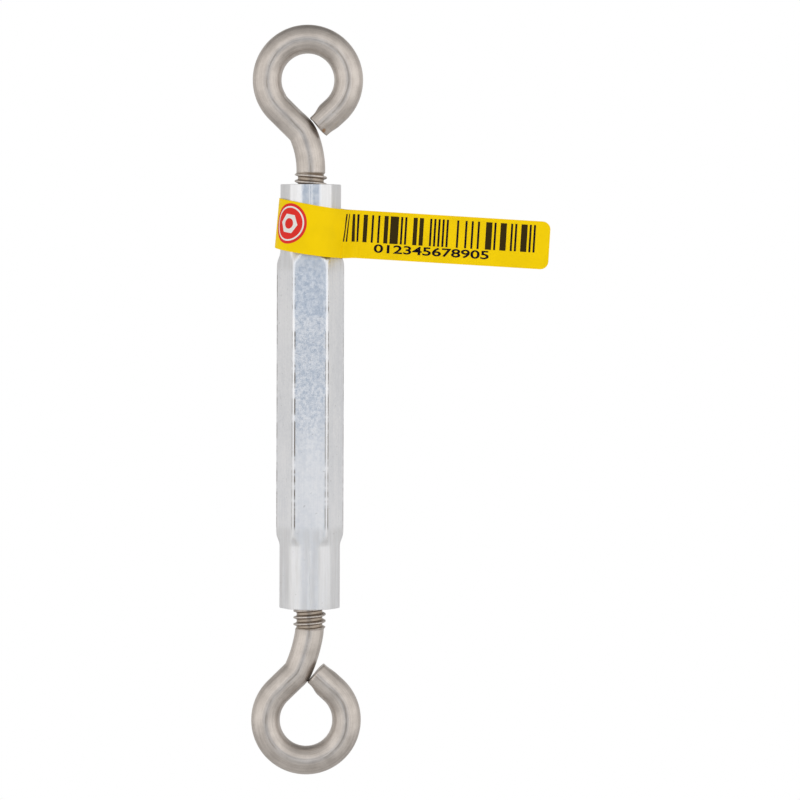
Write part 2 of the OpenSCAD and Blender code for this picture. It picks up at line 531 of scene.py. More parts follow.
def join_parts(
    name: str, meshes: Sequence[bpy.types.Mesh], weld: float, materials: Sequence[bpy.types.Material]
) -> bpy.types.Object:
    """Joins meshes into one object and welds the points that meet.

    Args:
        name: the object's name.
        meshes: the meshes to join; they are deleted.
        weld: how near two points have to be.
        materials: what the faces' material numbers stand for.

    Returns:
        The object, with its faces pointing outwards.
    """
    joined = bmesh.new()
    for mesh in meshes:
        joined.from_mesh(mesh)
        bpy.data.meshes.remove(mesh)
    bmesh.ops.remove_doubles(joined, verts=joined.verts, dist=weld)
    bmesh.ops.dissolve_degenerate(joined, edges=joined.edges, dist=weld / 4)
    bmesh.ops.recalc_face_normals(joined, faces=joined.faces)
    mesh = bpy.data.meshes.new(name)
    for material in materials:
        mesh.materials.append(material)
    joined.to_mesh(mesh)
    joined.free()
    made = bpy.data.objects.new(name, mesh)
    bpy.context.scene.collection.objects.link(made)
    return made


def shade_smooth(piece: bpy.types.Object, sharp_degrees: float) -> None:
    """Shades piece smooth, but for edges sharper than sharp_degrees."""
    piece.data.polygons.foreach_set("use_smooth", [True] * len(piece.data.polygons))
    piece.data.set_sharp_from_angle(angle=math.radians(sharp_degrees))


class GrowthTree(Graph):
    """A Geometry Nodes tree with named number inputs and one mesh output."""

    def __init__(self, name: str, inputs: dict[str, float]) -> None:
        """Makes the tree.

        Args:
            name: its name.
            inputs: the name and default of each number input.
        """
        super().__init__(bpy.data.node_groups.new(name, "GeometryNodeTree"))
        interface = self.tree.interface
        interface.new_socket("Geometry", in_out="INPUT", socket_type="NodeSocketGeometry")
        for label, default in inputs.items():
            interface.new_socket(label, in_out="INPUT", socket_type="NodeSocketFloat").default_value = default
        interface.new_socket("Geometry", in_out="OUTPUT", socket_type="NodeSocketGeometry")
        group = self.add("NodeGroupInput")
        self.inputs = {label: Value(self, group.outputs[label]) for label in inputs}

    def grid(self, rows: int, columns: int) -> tuple[Value, Value, Value]:
        """A flat unit grid.

        Args:
            rows: its points along X.
            columns: its points along Y.

        Returns:
            The grid, and how far each point is along X and Y, from 0 to 1.
        """
        links = {"Size X": 1.0, "Size Y": 1.0, "Vertices X": rows, "Vertices Y": columns}
        mesh = self.value("GeometryNodeMeshGrid", {}, links, "Mesh")
        x, y, _ = self.parts(self.value("GeometryNodeInputPosition"))
        return mesh, x + 0.5, y + 0.5

    def close(self, mesh: Value, weld: float, material: bpy.types.Material) -> bpy.types.NodeTree:
        """Welds mesh, gives it material and makes it the tree's output.

        Args:
            mesh: the finished geometry.
            weld: how near two points have to be to be joined.
            material: what it is made of.

        Returns:
            The finished tree.
        """
        welded = self.value("GeometryNodeMergeByDistance", {}, {"Geometry": mesh, "Distance": weld})
        real = self.value("GeometryNodeRealizeInstances", {}, {"Geometry": welded})
        dressed = self.value("GeometryNodeSetMaterial", {}, {"Geometry": real, "Material": material})
        self.add("NodeGroupOutput", {}, {"Geometry": dressed})
        return self.tree


# ---------------------------------------------------------------- eye bolts


class Hand(Enum):
    """Which way a thread rises: its sign is that of the turn about +Z that goes up."""

    LEFT = -1
    RIGHT = 1


@dataclass(frozen=True)
class Flat:
    """A place where a tool has pressed the round wire flat."""

    start: float
    end: float
    side: float
    depth: float
    fade: float

    def limit(self, along: float, angle: float, radius: float) -> float:
        """How far out the surface may be.

        Args:
            along: the place along the wire.
            angle: the place round it; 0 is the side that faces the middle of the eye.
            radius: the wire's radius.

        Returns:
            The limit, which is the wire's own radius away from the flat.
        """
        inside = min(along - self.start, self.end - along)
        share = min(1.0, max(0.0, inside / self.fade))
        depth = self.depth * share * share * (3 - 2 * share)
        facing = math.cos(angle - self.side)
        return (radius - depth) / facing if facing > 0.3 else math.inf


@dataclass
class EyeBolt:
    """One length of wire, bent to an open eye above a rolled thread, with the eye's middle as its origin."""

    name: str
    body: str
    hand: Hand
    crest_shift: float
    wire_radius: float = 2.7 * MM
    eye_radius: float = 7.64 * MM
    eye_offset: float = 0.6 * MM
    neck_lean: float = math.radians(45.5)
    knee_radius: float = 3.8 * MM
    kink_lean: float = 0.0
    kink_radius: float = 5.0 * MM
    ease_lean: float = math.radians(23)
    ease_radius: float = 16.7 * MM
    shank: float = 0.3 * MM
    tail_lean: float = math.radians(42.7)
    eye_gap: float = 0.3 * MM
    pitch: float = 1.27 * MM
    crest_radius: float = 3.05 * MM
    root_radius: float = 2.42 * MM
    run_out: float = 0.55 * MM
    tip: float = 0.8 * MM
    step: float = 0.3 * MM
    sides: int = 72
    rows_a_pitch: int = 12

    def neck_run(self) -> float:
        """The length of the straight neck between the loop and the tight bend."""
        start_x = self.eye_offset + self.eye_radius * math.cos(self.neck_lean)
        knee = self.knee_radius * (math.cos(self.ease_lean) - math.cos(self.neck_lean))
        ease = self.ease_radius * (math.cos(self.kink_lean) - math.cos(self.ease_lean))
        kink = self.kink_radius * (1 - math.cos(self.kink_lean))
        return (start_x - knee - ease - kink) / math.sin(self.neck_lean)

    def tail_run(self) -> float:
        """The length of the straight tail, which ends just short of the neck."""
        lean, neck = self.tail_lean, self.neck_lean
        inner = self.eye_radius - self.wire_radius
        corner = (inner * math.sin(lean), -inner * math.cos(lean))
        neck_start = (-self.eye_radius * math.cos(neck), -self.eye_radius * math.sin(neck))
        away = (corner[0] - neck_start[0]) * math.cos(neck) + (corner[1] - neck_start[1]) * math.sin(neck)
        return (away - self.wire_radius - self.eye_gap) / math.sin(lean + neck)

    def stretches(self) -> list[tuple[float, float]]:
        """The wire from the thread to its cut end.

        Returns:
            Each stretch's length, and how much it turns to the left along that length.
        """
        loop_turn = math.pi + self.neck_lean + math.pi / 2 - self.tail_lean
        bend = self.neck_lean - self.ease_lean
        return [
            (self.shank, 0.0),
            (self.kink_radius * self.kink_lean, self.kink_lean),
            (self.ease_radius * (self.ease_lean - self.kink_lean), self.ease_lean - self.kink_lean),
            (self.knee_radius * bend, bend),
            (self.neck_run(), 0.0),
            (self.eye_radius * loop_turn, -loop_turn),
            (self.tail_run(), 0.0),
        ]

    def centreline(self) -> np.ndarray:
        """Walks the wire's middle.

        Returns:
            Rows of along, x, z and lean, with the thread's axis at x = 0 and the walk's start at z = 0.
        """
        along, x, z, lean = 0.0, 0.0, 0.0, 0.0
        rows = [(along, x, z, lean)]
        for length, turn in self.stretches():
            count = math.ceil(length / self.step)
            for _ in range(count):
                middle = lean + turn / count / 2
                chord = length / count
                x -= chord * math.sin(middle)
                z += chord * math.cos(middle)
                lean += turn / count
                along += chord
                rows.append((along, x, z, lean))
        return np.array(rows)

    def flats(self, length: float) -> list[Flat]:
        """The tool marks that both eye bolts carry, on a wire of that length up to its cut end."""
        neck_end = sum(run for run, _ in self.stretches()[:5])
        return [
            Flat(neck_end - 4.4 * MM, neck_end + 2.2 * MM, math.radians(14), 0.24 * MM, 1.2 * MM),
            Flat(length - 3.1 * MM, length + 9 * MM, 0.0, 0.55 * MM, 2.4 * MM),
            Flat(length - 3.0 * MM, length + 9 * MM, math.pi, 0.32 * MM, 2.4 * MM),
            Flat(length - 2.0 * MM, length + 9 * MM, math.radians(128), 0.3 * MM, 1.0 * MM),
        ]

    def wire_mesh(self) -> bpy.types.Mesh:
        """Sweeps the wire, with its tool marks and its sheared end, and lays its UV map.

        Returns:
            The mesh, open where the thread begins, with that ring at z = 0.
        """
        rows = self.centreline()
        length = rows[-1][0]
        flats = self.flats(length)
        ends = [(0.0, 1.0), (0.10 * MM, 0.97), (0.13 * MM, 0.90), (0.06 * MM, 0.6), (0.10 * MM, 0.3)]
        points, places = [], []
        stations = [(row, 0.0, 1.0) for row in rows[:-1]]
        stations += [(rows[-1], push, share) for push, share in ends]
        for (along, x, z, lean), push, share in stations:
            forward = (-math.sin(lean), math.cos(lean))
            inward = (math.cos(lean), math.sin(lean))
            for side in range(self.sides):
                angle = TURN * side / self.sides
                limits = [flat.limit(along, angle, self.wire_radius) for flat in flats]
                radius = min(self.wire_radius, *limits) * share
                ragged = push * (1 + 0.5 * math.sin(3 * angle + 1.0))
                across, depth = radius * math.cos(angle), -radius * math.sin(angle)
                points.append((
                    x + across * inward[0] + ragged * forward[0],
                    depth,
                    z + across * inward[1] + ragged * forward[1],
                ))
            places.append(along + push)
        faces = grid_faces(len(stations), self.sides, closed=True)
        last = (len(stations) - 1) * self.sides
        faces.append(tuple(range(last, last + self.sides)))
        carrier = mesh_object(self.name + "_wire", np.array(points), faces)
        mesh = carrier.data
        layer = mesh.uv_layers.new(name="wire")
        for polygon in mesh.polygons:
            sides = [mesh.loops[i].vertex_index % self.sides for i in polygon.loop_indices]
            wraps = len(sides) == 4 and max(sides) - min(sides) > 1
            for loop, side in zip(polygon.loop_indices, sides):
                turned = side + self.sides if wraps and side == 0 else side
                station = mesh.loops[loop].vertex_index // self.sides
                around = TURN * self.wire_radius * turned / self.sides
                layer.data[loop].uv = (places[station] / MM, around / MM)
        bpy.data.objects.remove(carrier)
        return mesh

    def thread_tree(self, turns: int, material: bpy.types.Material) -> bpy.types.NodeTree:
        """A tree that rolls a thread, hanging from z = 0, with its rows of points along the helix.

        Args:
            turns: how many pitches the rows cover.
            material: the thread's finish.

        Returns:
            The tree.
        """
        names = ("Pitch", "Hand", "Shift", "Crest", "Root", "Shank", "Length", "Run Out", "Tip")
        g = GrowthTree(self.name + "_thread", dict.fromkeys(names, 1.0))
        pitch, hand, shift, crest, root, shank, length, run_out, tip = (g.inputs[n] for n in names)
        mesh, down, around = g.grid(turns * self.rows_a_pitch + 1, self.sides + 1)
        turn = 1.5 - down * turns
        profile = abs(turn.around(1.0)).ramp(1 / 12, 4 / 12, crest, root)
        raw = (turn + hand * around) * pitch + shift
        z = raw.at_most(0.0).at_least(length * -1.0)
        faded = shank + (profile - shank) * (z * -1.0).ramp(0.0, run_out)
        radius = faded.at_most((z + length).ramp(0.0, tip, root * 0.85, crest, False))
        angle = around * TURN
        place = g.vector(radius * angle.cos(), radius * angle.sin(), z)
        rolled = g.value("GeometryNodeSetPosition", {}, {"Geometry": mesh, "Position": place})
        return g.close(rolled, 0.004 * MM, material)

    def thread_mesh(self, length: float, material: bpy.types.Material) -> bpy.types.Mesh:
        """Rolls the thread, closes its hidden tip and lays its UV map.

        Args:
            length: the thread's length.
            material: its finish.

        Returns:
            The mesh, open where it meets the wire at z = 0.
        """
        turns = math.ceil(length / self.pitch) + 3
        sizes = {
            "Pitch": self.pitch,
            "Hand": float(self.hand.value),
            "Shift": self.crest_shift,
            "Crest": self.crest_radius,
            "Root": self.root_radius,
            "Shank": self.wire_radius,
            "Length": length,
            "Run Out": self.run_out,
            "Tip": self.tip,
        }
        mesh = grown(self.name + "_thread", self.thread_tree(turns, material), sizes)
        closing = bmesh.new()
        closing.from_mesh(mesh)
        low = min(vertex.co.z for vertex in closing.verts)
        rim = [e for e in closing.edges if e.is_boundary and max(v.co.z for v in e.verts) < low + 0.01 * MM]
        bmesh.ops.holes_fill(closing, edges=rim)
        layer = closing.loops.layers.uv.new("wire")
        for face in closing.faces:
            angles = [math.atan2(loop.vert.co.y, loop.vert.co.x) % TURN for loop in face.loops]
            wraps = max(angles) - min(angles) > math.pi
            for loop, angle in zip(face.loops, angles):
                turned = angle + TURN if wraps and angle < math.pi else angle
                loop[layer].uv = (loop.vert.co.z / MM, turned * self.wire_radius / MM)
        closing.to_mesh(mesh)
        closing.free()
        return mesh

    def build(self, eye: Vector, up: int, tip_z: float) -> bpy.types.Object:
        """Makes the eye bolt, dressed, and stands it in for its plain solid.

        Args:
            eye: the middle of the eye, on the thread's axis.
            up: 1 if the eye is at the top, -1 if it is at the bottom.
            tip_z: the height of the thread's hidden tip.

        Returns:
            The finished piece.
        """
        rows = self.centreline()
        top = rows[:, 2].max()
        thread_top = -(top - self.eye_radius)
        length = abs(tip_z - eye.z) - abs(thread_top)
        thread_z = sorted((eye.z + up * thread_top, tip_z))
        tail = Vector((rows[-1][1], -1.9 * MM, rows[-1][2] + thread_top))
        turned = Matrix.Identity(4) if up > 0 else Matrix.Rotation(math.pi, 4, "X")
        placed = Matrix.Translation(eye) @ turned
        chip = placed @ (tail + Vector((0.9 * MM, 0.0, -0.9 * MM)))
        finish = SatinSteel().material(self.name + "_steel", tuple(thread_z), chip)
        parts = [self.wire_mesh(), self.thread_mesh(length, finish)]
        for part in parts:
            part.polygons.foreach_set("material_index", [0] * len(part.polygons))
        piece = join_parts(self.name + "_detailed", parts, 0.004 * MM, [finish])
        piece.data.transform(placed @ Matrix.Translation((0, 0, thread_top)))
        shade_smooth(piece, 52)
        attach(piece, self.body)
        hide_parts(self.name)
        return piece


# ---------------------------------------------------------------- barrel


@dataclass
class Barrel:
    """A hexagonal tube whose ends are swaged to twelve-sided necks; its outer sizes come from the frame."""

    low: Vector
    high: Vector
    corner_press: float = 0.65 * MM
    flat_press: float = 0.05 * MM
    upper_neck: float = 12.7 * MM
    lower_neck: float = 11.8 * MM
    shoulder: float = 2.5 * MM
    bore: float = 3.1 * MM
    cavity: float = 3.35 * MM
    chamfer: float = 0.3 * MM
    ridge: float = 0.07 * MM
    burr: float = 0.09 * MM
    columns: int = 192
    # The painted bluish reflection on the barrel's front face reaches down to this far below the top.
    front_reflection_below_top: float = 24.2 * MM

    @property
    def length(self) -> float:
        """From end to end."""
        return self.high.z - self.low.z

    @property
    def corner(self) -> float:
        """The radius over the rounded corners."""
        return self.high.x

    @property
    def flat(self) -> float:
        """Half the width across the flats."""
        return self.high.y

    def skin_tree(self, material: bpy.types.Material) -> bpy.types.NodeTree:
        """A tree that forms the barrel's outside from a rule.

        At each height the outline is a soft minimum of flat sides: the hexagon's own, and those that the
        press has made of its corners. The sharpness of that minimum gives the corners their rounding.

        Args:
            material: the barrel's finish.

        Returns:
            The tree.
        """
        names = (
            "Flat", "Corner", "Corner Press", "Flat Press",
            "Lower Neck", "Upper Neck", "Shoulder", "Length",
        )
        g = GrowthTree("barrel_skin", dict.fromkeys((*names, "Sharpness", "Ridge", "Burr"), 1.0))
        flat, corner, press, flat_press, lower, upper, shoulder, length = (g.inputs[n] for n in names)
        zones = g.add("GeometryNodeJoinGeometry")
        stretch = 16 * MM
        middle = self.length - 2 * stretch
        for start, run, rows in ((0, stretch, 108), (stretch, middle, 52), (stretch + middle, stretch, 108)):
            mesh, along, around = g.grid(rows, self.columns + 1)
            z = along * run + start
            angle = around * TURN
            neck_low, neck_high = z - lower, length - z - upper
            past = neck_low.at_most(neck_high)
            neck_radius = corner - press
            pressed = past.ramp(-0.2 * MM, shoulder + 0.5 * MM, neck_radius, corner + 0.3 * MM)
            face = past.ramp(shoulder - 2.2 * MM, shoulder + 0.8 * MM, flat - flat_press, flat)
            sixth = abs((angle + TURN / 4).around(TURN / 6))
            sharp = g.inputs["Sharpness"]
            total = (sixth.cos() * flat / face) ** sharp + ((TURN / 6 - sixth).cos() * flat / face) ** sharp
            total = total + ((TURN / 12 - sixth).cos() * flat / pressed) ** sharp
            total = total + ((TURN / 12 + sixth).cos() * flat / pressed) ** sharp
            seam = abs((angle + TURN / 4).around(TURN / 2)).ramp(0.0, 0.055, g.inputs["Ridge"], 0.0)
            seam = seam * past.ramp(-1.5 * MM, 0.0, 1.0, 0.0)
            ring = g.vector(angle.cos() * 2.2, angle.sin() * 2.2, along)
            ragged = g.value("ShaderNodeTexNoise", {}, {"Vector": ring, "Scale": 2.0, "Detail": 3.0})
            at_end = past.ramp(lower * -1.0, lower * -1.0 + 0.5 * MM, 1.0, 0.0)
            lip = (ragged - 0.5) * g.inputs["Burr"] * at_end
            radius = flat * total ** (-1.0 / sharp) + seam
            place = g.vector(radius * angle.cos(), radius * angle.sin(), z + lip)
            formed = g.value("GeometryNodeSetPosition", {}, {"Geometry": mesh, "Position": place})
            g.tree.links.new(formed.socket, zones.inputs[0])
        return g.close(Value(g, zones.outputs[0]), 0.01 * MM, material)

    def skin(self, material: bpy.types.Material) -> bpy.types.Mesh:
        """Forms the barrel's outside, standing on z = 0 and open at both ends."""
        sizes = {
            "Flat": self.flat,
            "Corner": self.corner,
            "Corner Press": self.corner_press,
            "Flat Press": self.flat_press,
            "Lower Neck": self.lower_neck,
            "Upper Neck": self.upper_neck,
            "Shoulder": self.shoulder,
            "Length": self.length,
            "Sharpness": math.log(2) / math.log(self.flat / math.cos(math.pi / 6) / self.corner),
            "Ridge": self.ridge,
            "Burr": self.burr,
        }
        return grown("barrel_skin", self.skin_tree(material), sizes)

    def close_ends(self, mesh: bpy.types.Mesh) -> None:
        """Adds the end faces, the chamfered mouths and the bores to the skin."""
        work = bmesh.new()
        work.from_mesh(mesh)
        rims = []
        for at_top in (False, True):
            rim = [
                v for v in work.verts
                if any(e.is_boundary for e in v.link_edges) and (v.co.z > self.length / 2) == at_top
            ]
            rims.append(sorted(rim, key=lambda v: math.atan2(v.co.y, v.co.x)))
        end = self.length
        mouth = self.bore + self.chamfer
        rings = [
            (mouth, 0.0),
            (self.bore, self.chamfer),
            (self.bore, self.lower_neck),
            (self.cavity, self.lower_neck + self.cavity - self.bore),
            (self.cavity, end - self.upper_neck - self.cavity + self.bore),
            (self.bore, end - self.upper_neck),
            (self.bore, end - self.chamfer),
            (mouth, end),
        ]
        angles = [math.atan2(v.co.y, v.co.x) for v in rims[0]]
        inner = [
            [v.co.lerp(Vector((0, 0, v.co.z)), 0.02) + Vector((0, 0, dz)) for v in rim]
            for rim, dz in ((rims[0], -0.06 * MM), (rims[1], 0.06 * MM))
        ]
        loops = [rims[0], [work.verts.new(p) for p in inner[0]]]
        for radius, z in rings:
            loops.append([work.verts.new((radius * math.cos(a), radius * math.sin(a), z)) for a in angles])
        loops += [[work.verts.new(p) for p in inner[1]], rims[1]]
        for first, second in zip(loops, loops[1:]):
            for i, corner in enumerate(first):
                follow = (i + 1) % len(first)
                work.faces.new((corner, second[i], second[follow], first[follow]))
        work.to_mesh(mesh)
        work.free()

    def build(self) -> bpy.types.Object:
        """Makes the barrel, dressed, and stands it in for its plain solid."""
        full = (self.low.z + self.lower_neck + self.shoulder, self.high.z - self.upper_neck - self.shoulder)
        finish = DrawnAluminium().material("barrel_metal", full, self.high.z - self.front_reflection_below_top)
        mesh = self.skin(finish)
        self.close_ends(mesh)
        mesh.polygons.foreach_set("material_index", [0] * len(mesh.polygons))
        piece = join_parts("barrel_detailed", [mesh], 0.005 * MM, [finish])
        piece.data.transform(Matrix.Translation((0, 0, self.low.z)))
        shade_smooth(piece, 40)
        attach(piece, "barrel")
        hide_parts("barrel")
        return piece


# ---------------------------------------------------------------- label


@dataclass
class BarCode:
    """A twelve-digit retail bar code of plain counting digits."""

    digits: str = "012345678905"
    module: float = 0.39 * MM
    ink_edge: float = 0.12 * MM

    LEFT_CODES = ("3211", "2221", "2122", "1411", "1132", "1231", "1114", "1312", "1213", "3112")

    def runs(self) -> list[tuple[bool, int]]:
        """The code from left to right, as pairs of inked or not and a width in modules."""
        left = "".join(self.LEFT_CODES[int(digit)] for digit in self.digits[:6])
        right = "".join(self.LEFT_CODES[int(digit)] for digit in self.digits[6:])
        runs = [(i % 2 == 0, 1) for i in range(3)]
        runs += [(i % 2 == 1, int(width)) for i, width in enumerate(left)]
        runs += [(i % 2 == 1, 1) for i in range(5)]
        runs += [(i % 2 == 0, int(width)) for i, width in enumerate(right)]
        return runs + [(i % 2 == 0, 1) for i in range(3)]

    def bars(self) -> list[tuple[float, float]]:
        """Where each bar starts and ends, from the code's left end."""
        found, place = [], 0.0
        for inked, width in self.runs():
            if inked:
                found.append((place, place + width * self.module))
            place += width * self.module
        return found


@dataclass
class Label:
    """A printed strip that goes round the upper neck and is stuck back to itself as a flag.

    Places on it are along, the distance from the flag's crease towards the neck, and up, from its middle.
    """

    low: Vector
    high: Vector
    middle_z: float
    height: float = 9.0 * MM
    thickness: float = 0.12 * MM
    layer_gap: float = 0.005 * MM
    top_radius: float = 5.90 * MM
    low_radius: float = 6.72 * MM
    crease_x: float = 8.2 * MM
    crease_round: float = 0.9 * MM
    band_slope: float = math.radians(8.7)
    flag_slope: float = math.radians(3.25)
    slope_change_x: float = 6.4 * MM
    print_lean: float = 0.25
    band_gain: float = 0.04
    front_sag: float = 0.45 * MM
    corner_radius: float = 1.5 * MM
    code: BarCode = field(default_factory=BarCode)
    code_start: float = 3.1 * MM
    code_top: float = 3.73 * MM
    code_low: float = -1.44 * MM
    digits_left_x: float = 12.0 * MM
    digits_width: float = 21.6 * MM
    digits_height: float = 1.62 * MM
    digits_up: float = -3.28 * MM
    emblem_along: float = 15.3 * MM
    emblem_up: float = 0.45 * MM
    emblem_radius: float = 3.65 * MM
    ink_lift: float = 0.014 * MM
    loop_columns: int = 60

    SURFACES = (Print.STOCK, Print.INK, Print.THIN_INK, Print.RED, Print.WHITE, Print.EDGE)

    def radius(self, up: float) -> float:
        """The loop's radius at a height: it flares towards the shoulder of the barrel below."""
        share = up / self.height + 0.5
        return self.low_radius + (self.top_radius - self.low_radius) * share

    def half_loop(self, radius: float) -> float:
        """The distance from the crease to the far side of a loop of that radius."""
        slant = math.sqrt(self.crease_x**2 - radius**2)
        return slant + (math.pi - math.acos(radius / self.crease_x)) * radius

    def plan(self, along: float, radius: float) -> tuple[float, float]:
        """The strip's front half seen from above.

        Args:
            along: the distance from the crease, negative on the flag.
            radius: the loop's radius.

        Returns:
            X and Y of its outer face.
        """
        face = self.thickness + self.layer_gap
        slant = math.sqrt(self.crease_x**2 - radius**2)
        lean = math.acos(radius / self.crease_x)
        if along > slant:
            angle = -lean - (along - slant) / radius
            return radius * math.cos(angle), radius * math.sin(angle)
        touch = Vector((radius * math.cos(lean), -radius * math.sin(lean)))
        crease = Vector((self.crease_x, -face))
        away = (touch - crease).normalized()
        if along <= -self.crease_round:
            return self.crease_x - along, -face
        if along >= self.crease_round:
            point = crease + (touch - crease) * (along / slant)
            return point.x, point.y
        share = (along + self.crease_round) / (2 * self.crease_round)
        start = crease + Vector((self.crease_round, 0))
        end = crease + away * self.crease_round
        point = start * (1 - share) ** 2 + crease * (2 * share * (1 - share)) + end * share**2
        return point.x, point.y

    def middle(self, x: float, y: float) -> float:
        """The height of the strip's middle where it passes x and y."""
        before = min(x, self.slope_change_x)
        past = max(0.0, x - self.slope_change_x)
        sag = self.front_sag * max(0.0, -y) / self.low_radius
        return self.middle_z - before * math.tan(self.band_slope) - past * math.tan(self.flag_slope) - sag

    def point(self, along: float, up: float, back: bool = False) -> Vector:
        """A place on the strip's outer face.

        Args:
            along: the distance from the crease, negative on the flag, on the front half.
            up: the distance from the strip's middle.
            back: whether it is on the back half instead.

        Returns:
            The place in the frame.
        """
        radius = self.radius(up)
        fixed = self.code_start + 0.2 * MM
        if along > fixed:
            share = (along - fixed) / (self.half_loop(self.radius(0)) - fixed)
            along = fixed + share * (self.half_loop(radius) - fixed)
        elif along > 0 and not back:
            along -= self.print_lean * up * min(1.0, along / (self.code_start - 0.8 * MM))
        side = -1 if back else 1
        x, y = self.plan(along, radius)
        step = 0.05 * MM
        next_x, next_y = self.plan(along + step, radius)
        y, next_y = side * y, side * next_y
        z = self.middle(x, y)
        rise = self.middle(next_x, next_y) - z
        direction = Vector((next_x - x, next_y - y, rise)).normalized()
        level = Vector((next_x - x, next_y - y, 0)).normalized()
        upright = Vector((0, 0, 1)) * level.dot(direction) - level * direction.z
        wider = 1 + self.band_gain * min(1.0, max(0.0, (self.crease_x - x) / (2 * radius)))
        return Vector((x, y, z)) + upright * (up * wider)

    def columns(self) -> tuple[list[float], list[float]]:
        """The places of the front half's columns and of the back half's, from free edge to loop."""
        flag = self.high.x - self.crease_x
        corner = self.corner_radius
        edge = [-flag + corner * (1 - math.cos(math.pi / 2 * i / 8)) for i in range(9)]
        inked = []
        for start, end in self.code.bars():
            inked += [self.code_start - start, self.code_start - end]
            if end - start > 1.5 * self.code.module:
                inked.append(self.code_start - start - self.code.ink_edge)
                inked.append(self.code_start - end + self.code.ink_edge)
        fixed = self.code_start + 0.2 * MM
        flat = list(np.arange(-flag + corner + 0.6 * MM, -1.2 * MM, 0.8 * MM))
        bend = list(np.arange(-1.2 * MM, fixed, 0.15 * MM))
        far = self.half_loop(self.radius(0))
        loop = list(np.linspace(fixed, far, self.loop_columns))
        plain = sorted(edge + flat + bend + loop)
        away = [c for c in plain if min(abs(c - i) for i in inked) > 0.04 * MM]
        return sorted(away + inked), plain

    def rows(self) -> list[float]:
        """The heights of the strip's rows, with the ends of the bars among them."""
        half = self.height / 2
        below = np.linspace(-half, self.code_low, 5)
        through = np.linspace(self.code_low, self.code_top, 7)[1:]
        return sorted([*below, *through, half])

    def narrowed(self, along: float, up: float) -> float:
        """up, drawn in where the flag's free corners are rounded."""
        reach = along + self.high.x - self.crease_x
        if reach >= self.corner_radius:
            return up
        half = self.height / 2
        inset = self.corner_radius - math.sqrt(
            max(0.0, self.corner_radius**2 - (self.corner_radius - reach) ** 2)
        )
        return up * (half - inset) / half

    def strip_mesh(self) -> bpy.types.Mesh:
        """Lays the strip, prints its bars and gives it its thickness inwards.

        Returns:
            The strip as a closed sheet, with its faces' material numbers as in SURFACES.
        """
        front, back = self.columns()
        rows = self.rows()
        grid = [[self.point(c, self.narrowed(c, r)) for c in front] for r in rows]
        for line, r in zip(grid, rows):
            line += [self.point(c, self.narrowed(c, r), back=True) for c in reversed(back[:-1])]
        width = len(grid[0])
        faces = [tuple(reversed(f)) for f in grid_faces(len(rows), width, closed=False)]
        strip = mesh_object("label_strip", np.array([p for line in grid for p in line]), faces)
        bars = [(self.code_start - end, self.code_start - start) for start, end in self.code.bars()]
        tiny = 0.01 * MM
        for polygon in strip.data.polygons:
            row, column = divmod(min(polygon.vertices), width)
            between = rows[row] >= self.code_low - tiny and rows[row + 1] <= self.code_top + tiny
            if not between or column + 1 >= len(front):
                continue
            left, right = front[column], front[column + 1]
            for start, end in bars:
                if left >= start - tiny and right <= end + tiny:
                    near_edge = left < start + self.code.ink_edge / 2 or right > end - self.code.ink_edge / 2
                    wide = end - start > 1.5 * self.code.module
                    polygon.material_index = 2 if wide and not near_edge else 1
        thick = strip.modifiers.new("paper", "SOLIDIFY")
        thick.thickness = self.thickness
        thick.offset = -1
        thick.material_offset = len(self.SURFACES)
        thick.material_offset_rim = len(self.SURFACES)
        return evaluated_mesh(strip, "label_strip")

    def digits_mesh(self) -> bpy.types.Mesh:
        """Prints the digits below the bars, as a thin layer of ink on the flag's front."""
        curve = bpy.data.curves.new("label_digits", "FONT")
        curve.body = self.code.digits
        curve.extrude = self.ink_lift
        curve.offset = 0.02
        writing = bpy.data.objects.new("label_digits", curve)
        bpy.context.scene.collection.objects.link(writing)
        mesh = evaluated_mesh(writing, "label_digits")
        places = np.array([v.co for v in mesh.vertices])
        low, high = places.min(0), places.max(0)
        for vertex in mesh.vertices:
            across = (vertex.co.x - low[0]) / (high[0] - low[0]) * self.digits_width
            up = (vertex.co.y - low[1]) / (high[1] - low[1]) * self.digits_height
            place = self.point(self.crease_x - self.digits_left_x - across, self.digits_up + up)
            vertex.co = place - Vector((0, max(0.0, vertex.co.z), 0))
        mesh.materials.clear()
        mesh.polygons.foreach_set("material_index", [self.SURFACES.index(Print.INK)] * len(mesh.polygons))
        return mesh

    def emblem_mesh(self) -> bpy.types.Mesh:
        """Prints a plain emblem, a hexagon nut in a ring on a red disc, on the loop's left side."""
        red, white = self.SURFACES.index(Print.RED), self.SURFACES.index(Print.WHITE)
        size = self.emblem_radius
        bands = [
            (0.26, 0.0, white), (0.52, 1.0, white), (0.78, 0.0, red),
            (0.86, 0.0, white), (1.0, 0.0, red),
        ]
        spokes, steps = 72, 4
        points, faces, paints = [self.point(self.emblem_along, self.emblem_up)], [], []
        rings, before, before_hexagon = [], 0.0, 0.0
        for share, hexagon, paint in bands:
            for step in range(1, steps + 1):
                part = step / steps
                hexagonal = before_hexagon + (hexagon - before_hexagon) * part
                rings.append((before + (share - before) * part, hexagonal))
                paints.append(red if share == bands[0][0] else paint)
            before, before_hexagon = share, hexagon
        for share, hexagon in rings:
            for spoke in range(spokes):
                angle = TURN * spoke / spokes
                folded = (angle % (math.pi / 3)) - math.pi / 6
                reach = size * share * (1 + hexagon * (math.cos(math.pi / 6) / math.cos(folded) - 1))
                along = self.emblem_along - reach * math.cos(angle)
                points.append(self.point(along, self.emblem_up + reach * math.sin(angle)))
        raised = [p + Vector((p.x, p.y, 0)).normalized() * self.ink_lift for p in points]
        numbers = []
        for spoke in range(spokes):
            follow = (spoke + 1) % spokes
            faces.append((0, 1 + spoke, 1 + follow))
            numbers.append(paints[0])
        for ring in range(len(rings) - 1):
            low, high = 1 + ring * spokes, 1 + (ring + 1) * spokes
            for spoke in range(spokes):
                follow = (spoke + 1) % spokes
